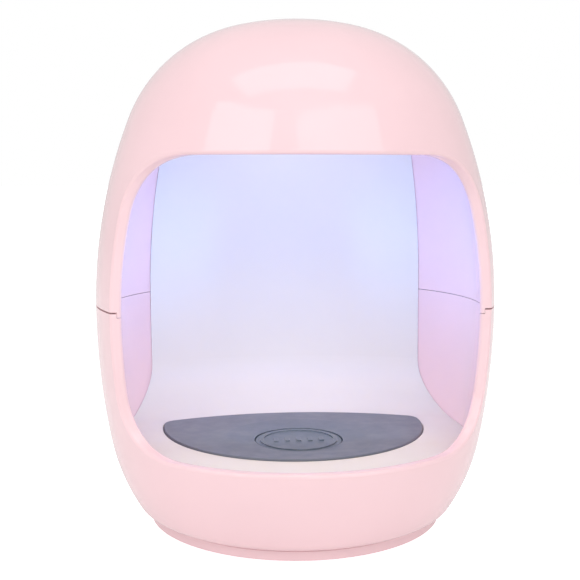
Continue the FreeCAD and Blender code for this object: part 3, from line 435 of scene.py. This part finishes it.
# ---------------------------------------------------------------- pieces

TURN_STEPS = 64
ROUNDING_SIDES = 4


def turned(name, outline, axis, slot):
    """Closed ring or cup made by turning a closed outline of (radius, height) about an upright axis."""
    mesh = bpy.data.meshes.new(name)
    shape = bmesh.new()
    rows = []
    for radius, height in outline:
        turns = [2 * math.pi * step / TURN_STEPS for step in range(TURN_STEPS)] if radius else [0.0]
        row = []
        for turn in turns:
            place = (axis.x + radius * math.cos(turn), axis.y + radius * math.sin(turn), height)
            row.append(shape.verts.new(place))
        rows.append(row)
    for row, following in zip(rows, rows[1:] + rows[:1]):
        for step in range(TURN_STEPS):
            after = step + 1
            corners = (row[step % len(row)], row[after % len(row)],
                       following[after % len(following)], following[step % len(following)])
            # A row on the axis has one point, so corners that coincide there are dropped
            separate = list(dict.fromkeys(corners))
            if len(separate) > 2:
                shape.faces.new(separate).smooth = True
    bmesh.ops.recalc_face_normals(shape, faces=shape.faces)
    shape.to_mesh(mesh)
    shape.free()
    mesh.materials.append(materials[slot])
    piece = bpy.data.objects.new(name, mesh)
    bpy.context.scene.collection.objects.link(piece)
    return piece


def rounded_run(corners):
    """Outline through (radius, height, rounding) corners. A rounding is a curve of a few short sides."""
    outline = []
    for index, (radius, height, rounding) in enumerate(corners):
        corner = Vector((radius, height))
        if not rounding:
            outline.append(corner)
            continue
        before = (Vector(corners[index - 1][:2]) - corner).normalized() * rounding
        after = (Vector(corners[(index + 1) % len(corners)][:2]) - corner).normalized() * rounding
        for step in range(ROUNDING_SIDES + 1):
            way = step / ROUNDING_SIDES
            outline.append(corner + before * (1 - way) ** 2 + after * way ** 2)
    return outline


def make_button_dome():
    """Silicone dome under the button: flange on the board, thin curved skirt, thick crown over the pill."""
    low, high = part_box("rubber_dome")
    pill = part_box("carbon_pill")[1]
    axis = Vector(((low.x + high.x) / 2, (low.y + high.y) / 2, 0))
    base = low.z
    top = high.z
    flange = base + 0.7 * MM
    roof = pill.z + 0.06 * MM
    web = roof + 0.3 * MM
    outer = (high.x - low.x) / 2
    crown = outer - 3.2 * MM
    shoulder = outer - 2.3 * MM
    skirt = outer - 0.9 * MM
    inside = outer - 1.4 * MM
    vault = outer - 2.8 * MM
    socket = outer - 3.6 * MM
    corners = [(0, top, 0), (crown, top, 0.25 * MM), (crown, top - 0.6 * MM, 0.2 * MM),
               (shoulder, top - 0.7 * MM, 0.4 * MM), (skirt, flange, 0.35 * MM), (outer, flange, 0.2 * MM),
               (outer, base, 0), (inside, base, 0), (inside, base + 0.35 * MM, 0.1 * MM),
               (vault, web, 0.3 * MM), (socket, web, 0), (socket, roof, 0), (0, roof, 0)]
    dome = turned("button_dome", rounded_run(corners), axis, "silicone")
    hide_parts("rubber_dome")
    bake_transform(dome)


# ---------------------------------------------------------------- stage

FLOOR_HALF_SIDE = 4.0
FLOOR_TONE = 0.8
FLOOR_LIFT = 0.8
FLOOR_DROP = 0.1 * MM
BOUNCE_TONE = 0.8
BOUNCE_LIFT = 0.2
BOUNCE_DROP = 0.2 * MM

# How bright the studio is for what it lights, by direction
SURROUND_FRONT = 0.42
SURROUND_BEHIND = 0.72
SURROUND_ABOVE = 0.76


def make_floor(name, tone, lift):
    """Plain pale floor with soft clouds, lifted by a little light of its own."""
    mesh = bpy.data.meshes.new(name)
    shape = bmesh.new()
    bmesh.ops.create_grid(shape, x_segments=2, y_segments=2, size=FLOOR_HALF_SIDE)
    shape.to_mesh(mesh)
    shape.free()
    look = Shader(name)
    look.colour(look.clouded((tone, tone, tone), variation=0.004, size=0.3))
    look.roughness(0.7, swing=0.05, size=0.1)
    look.set(Emission_Color=WHITE, Emission_Strength=lift, Specular_IOR_Level=0.0)
    mesh.materials.append(look.material)
    floor = bpy.data.objects.new(name, mesh)
    bpy.context.scene.collection.objects.link(floor)
    return floor


def make_floors():
    """The floor that is seen, burnt out to white, and a dimmer one that throws light up at the lamp."""
    seen = make_floor("floor", FLOOR_TONE, FLOOR_LIFT)
    seen.location.z = -FLOOR_DROP
    seen.visible_diffuse = False
    seen.visible_glossy = False
    seen.visible_shadow = False
    bounce = make_floor("floor_bounce", BOUNCE_TONE, BOUNCE_LIFT)
    bounce.location.z = -BOUNCE_DROP
    bounce.visible_camera = False


def make_world():
    """White background. What lights the lamp is a pale studio that varies with direction."""
    world = bpy.data.worlds.new("world")
    world.use_nodes = True
    sky = NodeTree(world.node_tree)
    direction = sky.add("ShaderNodeSeparateXYZ")
    sky.link(sky.add("ShaderNodeTexCoord").outputs["Generated"], direction.inputs[0])
    behind = sky.spread(direction.outputs["Y"], -1.0, 1.0)
    around = sky.mix(behind, SURROUND_FRONT, SURROUND_BEHIND, "FLOAT")
    above = sky.spread(direction.outputs["Z"], 0.0, 1.0)
    whole = sky.mix(above, around, SURROUND_ABOVE, "FLOAT")
    seen = sky.add("ShaderNodeLightPath").outputs["Is Camera Ray"]
    background = sky.tree.nodes["Background"]
    background.inputs["Color"].default_value = WHITE
    sky.link(sky.mix(seen, whole, 1.0, "FLOAT"), background.inputs["Strength"])
    bpy.context.scene.world = world
    bpy.context.scene.view_settings.view_transform = "Standard"


# ---------------------------------------------------------------- light

# Radiance of the three softboxes
OVERHEAD = 1.4
LEFT_BOX = 1.65
RIGHT_BOX = 1.38

# Power of the panels inside the lamp, in watts for red, green and blue
GLOW_HIGH = (0.0003, 0.0027, 0.0103)
GLOW_LOW = (0.0037, 0.0041, 0.004)
GLOW_DOWN = (0.0032, 0.0023, 0.001)
GLOW_BACK = (0.001, 0.0009, 0.0001)
GLOW_SIDES = (0.0008, 0.0017, 0.0031)

TO_THE_REAR = (0, 1, 0)
DOWN = (0, 0, -1)


def area_light(name, place, turn, width, depth):
    """Rectangular light that the camera doesn't see."""
    data = bpy.data.lights.new(name, "AREA")
    data.shape = "RECTANGLE"
    data.size = width
    data.size_y = depth
    light = bpy.data.objects.new(name, data)
    light.location = place
    light.rotation_euler = turn.to_euler()
    light.visible_camera = False
    bpy.context.scene.collection.objects.link(light)
    return data


def softbox(name, place, aim, width, depth, radiance):
    """Soft light of an even brightness that faces a point."""
    turn = (Vector(aim) - Vector(place)).to_track_quat("-Z", "Y")
    data = area_light(name, place, turn, width, depth)
    data.energy = radiance * math.pi * width * depth


def make_softboxes():
    """One softbox overhead and one each side of the camera. Places and sizes are in metres."""
    top = cad_box[1][2]
    softbox("overhead", place=(-0.035, -0.22, 0.785), aim=(-0.035, -0.22, 0),
            width=0.77, depth=0.32, radiance=OVERHEAD)
    softbox("left", place=(-0.459, -0.463, 0.393), aim=(-0.01, -0.03, top),
            width=0.49, depth=0.55, radiance=LEFT_BOX)
    softbox("right", place=(0.288, -0.586, 0.393), aim=(0.005, -0.03, top),
            width=0.64, depth=0.55, radiance=RIGHT_BOX)


def glow_panel(name, place, towards, width, depth, power, spread=180):
    """Small light panel under the ceiling plate, with its spread in degrees."""
    turn = Vector(towards).to_track_quat("-Z", "Z")
    data = area_light(name, place, turn, width, depth)
    data.spread = math.radians(spread)
    data.energy = max(power)
    data.color = [channel / max(power) for channel in power]


def make_glow():
    """Light of the LEDs and of the walls they light: blue at the top and the sides, whiter lower down."""
    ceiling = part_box("led_holder")[0].z
    glow_panel("glow_high", place=(0, -12 * MM, 61 * MM), towards=TO_THE_REAR,
               width=46 * MM, depth=28 * MM, power=GLOW_HIGH)
    glow_panel("glow_low", place=(0, -12 * MM, 34 * MM), towards=TO_THE_REAR,
               width=46 * MM, depth=26 * MM, power=GLOW_LOW)
    glow_panel("glow_down", place=(0, -8 * MM, ceiling - 1 * MM), towards=DOWN,
               width=24 * MM, depth=24 * MM, power=GLOW_DOWN, spread=100)
    glow_panel("glow_back", place=(0, 0, ceiling - 5 * MM), towards=TO_THE_REAR,
               width=30 * MM, depth=8 * MM, power=GLOW_BACK)
    for side in (-1, 1):
        glow_panel("glow_side", place=(8 * MM * side, -2 * MM, 52 * MM), towards=(side, 0, 0),
                   width=20 * MM, depth=44 * MM, power=GLOW_SIDES, spread=120)


make_camera()
make_floors()
make_world()
make_softboxes()
make_glow()
dress_nodes()
make_button_dome()
